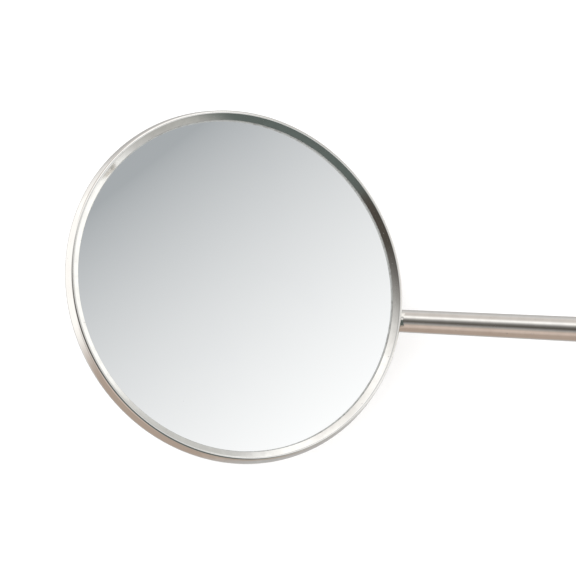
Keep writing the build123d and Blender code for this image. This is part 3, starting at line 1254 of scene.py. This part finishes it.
@dataclass(frozen=True)
class FaceCard:
    """The card whose gradient the mirror's face reflects. It shows only in polished metal.

    Args:
        name: Its name.
        lean: The angle of its middle from the way back to the camera, in degrees.
        clock: The way that it leans, in degrees anticlockwise from the picture's right.
        distance: How far it stands from the head.
        size: Its size each way.
        near: Its colour at the start of its gradient.
        far: Its colour at the end.
        span: How long the gradient is.
        gradient_turn: The way that the gradient runs on the card, in degrees.
        ease: The power that the gradient rises by; below 1 it rises early.
    """

    name: str = "face_card"
    lean: float = 51.0
    clock: float = 28.0
    distance: float = 0.10
    size: float = 0.05
    near: Colour = (0.40, 0.42, 0.435)
    far: Colour = (1.02, 1.02, 1.02)
    span: float = 0.0255
    gradient_turn: float = -32.5
    ease: float = 0.78

    def build(self, middle: Vector, view: Viewpoint) -> None:
        """Stand the card up, facing the head.

        Args:
            middle: The middle of the head.
            view: The viewpoint that its place is measured from.
        """
        away = view.toward(self.lean, self.clock)
        bpy.ops.object.select_all(action="DESELECT")
        bpy.ops.mesh.primitive_grid_add(x_subdivisions=1, y_subdivisions=1, size=1.0)
        card = bpy.context.object
        card.name = self.name
        facing = (-away).to_track_quat("Z", "Y").to_matrix()
        card.matrix_world = Matrix.LocRotScale(
            middle + away * self.distance, facing, Vector((self.size, self.size, 1.0))
        )
        card.data.materials.append(self._material())
        for kind in ("camera", "diffuse", "shadow", "transmission", "volume_scatter"):
            setattr(card, f"visible_{kind}", False)

    def _material(self) -> bpy.types.Material:
        """Return the card's own light, graded across it."""
        made, sheet = start_material(self.name)
        made.cycles.emission_sampling = "NONE"
        where = sheet.add("ShaderNodeTexCoord").outputs["Object"]
        spans = self.size / self.span
        scaled = sheet.add("ShaderNodeMapping", {0: where, "Scale": (spans, spans, 1.0)})
        turned_round = sheet.add(
            "ShaderNodeMapping", {0: scaled.outputs[0], "Rotation": (0, 0, -radians(self.gradient_turn))}
        )
        split = sheet.add("ShaderNodeSeparateXYZ", {0: turned_round.outputs[0]})
        share = sheet.add(
            "ShaderNodeMapRange", {"Value": split.outputs[0], "From Min": -0.5, "From Max": 0.5}
        )
        eased = sheet.math("POWER", share.outputs[0], self.ease)
        colour = sheet.blend(eased, (*self.near, 1.0), (*self.far, 1.0))
        glow = sheet.add("ShaderNodeEmission", {"Color": colour, "Strength": 1.0})
        sheet.add("ShaderNodeOutputMaterial", {"Surface": glow.outputs[0]})
        return made


@dataclass(frozen=True)
class SkyPatch:
    """A soft round patch in the sky that polished metal reflects: a lamp, a wall or a dark gap.

    Args:
        lean: The angle of its middle from the way back to the camera, in degrees.
        clock: The way that it leans, in degrees anticlockwise from the picture's right.
        reach: The angle from its middle to the middle of its edge, in degrees.
        softness: How wide its edge is, in degrees.
        colour: Its brightness in red, green and blue.
    """

    lean: float
    clock: float
    reach: float
    softness: float
    colour: Colour


@dataclass
class Studio:
    """A plain pale floor under a soft bright sky, with a card for the mirror's face to reflect.

    Args:
        view: The viewpoint that the card and the sky's patches are set by.
        middle: The middle of the head.
        floor_size: The floor's size each way.
        floor_glow: How bright the floor is of itself.
        soft_light: How bright the sky is, as it lights the floor and everything matt.
        backdrop: How bright it is behind the object.
    """

    view: Viewpoint
    middle: Vector
    floor_size: float = 12.0
    floor_glow: float = 0.15
    soft_light: float = 1.35
    backdrop: float = 1.05

    def build(self) -> None:
        """Set the floor, the sky and the card in front of the mirror's face."""
        bpy.context.scene.view_settings.view_transform = "Standard"
        self._floor()
        self._sky()
        FaceCard().build(self.middle, self.view)

    def patches(self) -> list[SkyPatch]:
        """Return the sky's patches, the nearest last."""
        return [
            SkyPatch(108, 168, 38, 28, (1.15, 1.13, 1.10)),
            SkyPatch(104, 10, 30, 24, (1.10, 1.10, 1.08)),
            SkyPatch(84, 112, 22, 26, (0.64, 0.60, 0.57)),
            SkyPatch(100, 50, 12, 18, (0.60, 0.60, 0.58)),
            SkyPatch(76, 28, 17, 16, (0.56, 0.54, 0.51)),
            SkyPatch(88, -75, 34, 24, (0.44, 0.37, 0.32)),
            SkyPatch(74, -112, 34, 24, (0.43, 0.36, 0.31)),
            SkyPatch(102, -118, 36, 24, (0.46, 0.37, 0.31)),
            SkyPatch(60, -132, 22, 24, (0.68, 0.56, 0.49)),
            SkyPatch(84, -158, 10, 12, (0.22, 0.19, 0.17)),
            SkyPatch(62, -22, 18, 22, (0.44, 0.44, 0.42)),
            SkyPatch(0, 0, 30, 42, (0.080, 0.073, 0.064)),
            SkyPatch(32, -48, 30, 16, (0.118, 0.140, 0.132)),
            SkyPatch(10, -170, 8, 10, (0.075, 0.066, 0.056)),
        ]

    def _floor(self) -> None:
        """Lay the floor: matt, pale and a little bright of itself, as a lit sweep is."""
        bpy.ops.object.select_all(action="DESELECT")
        bpy.ops.mesh.primitive_plane_add(size=self.floor_size, location=(0, 0, 0))
        floor = bpy.context.object
        floor.name = "floor"
        made, sheet = start_material("pale_floor")
        where = sheet.add("ShaderNodeTexCoord").outputs["Object"]
        tone = sheet.add("ShaderNodeTexNoise", {"Vector": where, "Scale": 3.0, "Detail": 3.0})
        colour = sheet.blend(tone.outputs[0], (0.86, 0.86, 0.86, 1.0), (0.90, 0.90, 0.90, 1.0))
        sheet.principled({
            "Base Color": colour,
            "Roughness": 0.9,
            "Specular IOR Level": 0.0,
            "Emission Color": (1.0, 1.0, 1.0, 1.0),
            "Emission Strength": self.floor_glow,
        })
        made.cycles.emission_sampling = "NONE"
        floor.data.materials.append(made)
        floor.visible_glossy = False

    def _sky(self) -> None:
        """Light the scene softly, and give polished metal a sky with lamps, walls and gaps to reflect."""
        world = bpy.data.worlds.new("soft_sky")
        bpy.context.scene.world = world
        world.use_nodes = True
        world.cycles.sampling_method = "NONE"
        sheet = NodeSheet(world.node_tree)
        way = sheet.add("ShaderNodeTexCoord").outputs["Generated"]
        height = sheet.add("ShaderNodeSeparateXYZ", {0: way}).outputs[2]
        above = sheet.ramp(height, 0.0, 0.35, 0.0, 1.0)
        below = sheet.ramp(height, -0.7, 0.0, 0.0, 1.0)
        ground = sheet.blend(below, (0.50, 0.49, 0.48, 1.0), (0.66, 0.655, 0.65, 1.0))
        colour = sheet.blend(above, ground, (1.15, 1.14, 1.12, 1.0))
        for patch in self.patches():
            middle = self.view.toward(patch.lean, patch.clock)
            facing = sheet.add("ShaderNodeVectorMath", {0: way, 1: middle}, operation="DOT_PRODUCT")
            outer = cos(radians(patch.reach + patch.softness / 2))
            inner = cos(radians(max(0.0, patch.reach - patch.softness / 2)))
            share = sheet.ramp(facing.outputs["Value"], outer, inner, 0.0, 1.0)
            colour = sheet.blend(share, colour, (*patch.colour, 1.0))
        mirrored = sheet.add("ShaderNodeBackground", {"Color": colour, "Strength": 1.0})
        soft = sheet.add("ShaderNodeBackground", {"Color": (1, 1, 1, 1), "Strength": self.soft_light})
        seen = sheet.add("ShaderNodeBackground", {"Color": (1, 1, 1, 1), "Strength": self.backdrop})
        path = sheet.add("ShaderNodeLightPath").outputs
        glossy, direct = path["Is Glossy Ray"], path["Is Camera Ray"]
        lit = sheet.add("ShaderNodeMixShader", {0: glossy, 1: soft.outputs[0], 2: mirrored.outputs[0]})
        both = sheet.add("ShaderNodeMixShader", {0: direct, 1: lit.outputs[0], 2: seen.outputs[0]})
        sheet.add("ShaderNodeOutputWorld", {"Surface": both.outputs[0]})


def main() -> None:
    """Build the mirror from its head to its plug, then the studio round it."""
    logging.basicConfig(level=logging.INFO, format="%(name)s: %(message)s")
    groups = EffectGroups()
    low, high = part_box("handle_nose")
    nose_face = Vector((high.x, 0.0, (low.z + high.z) / 2))
    shaft = TurningAxis(nose_face, Vector((1.0, 0.0, 0.0)))
    head = MirrorHead(groups)
    head.build()
    StemUnit(groups, head, shaft).build()
    Handle(groups, shaft).build()
    view = Viewpoint(head.axis.origin)
    view.build()
    Studio(view, head.axis.point(head.coat_top)).build()


if __name__ == "__main__":
    main()
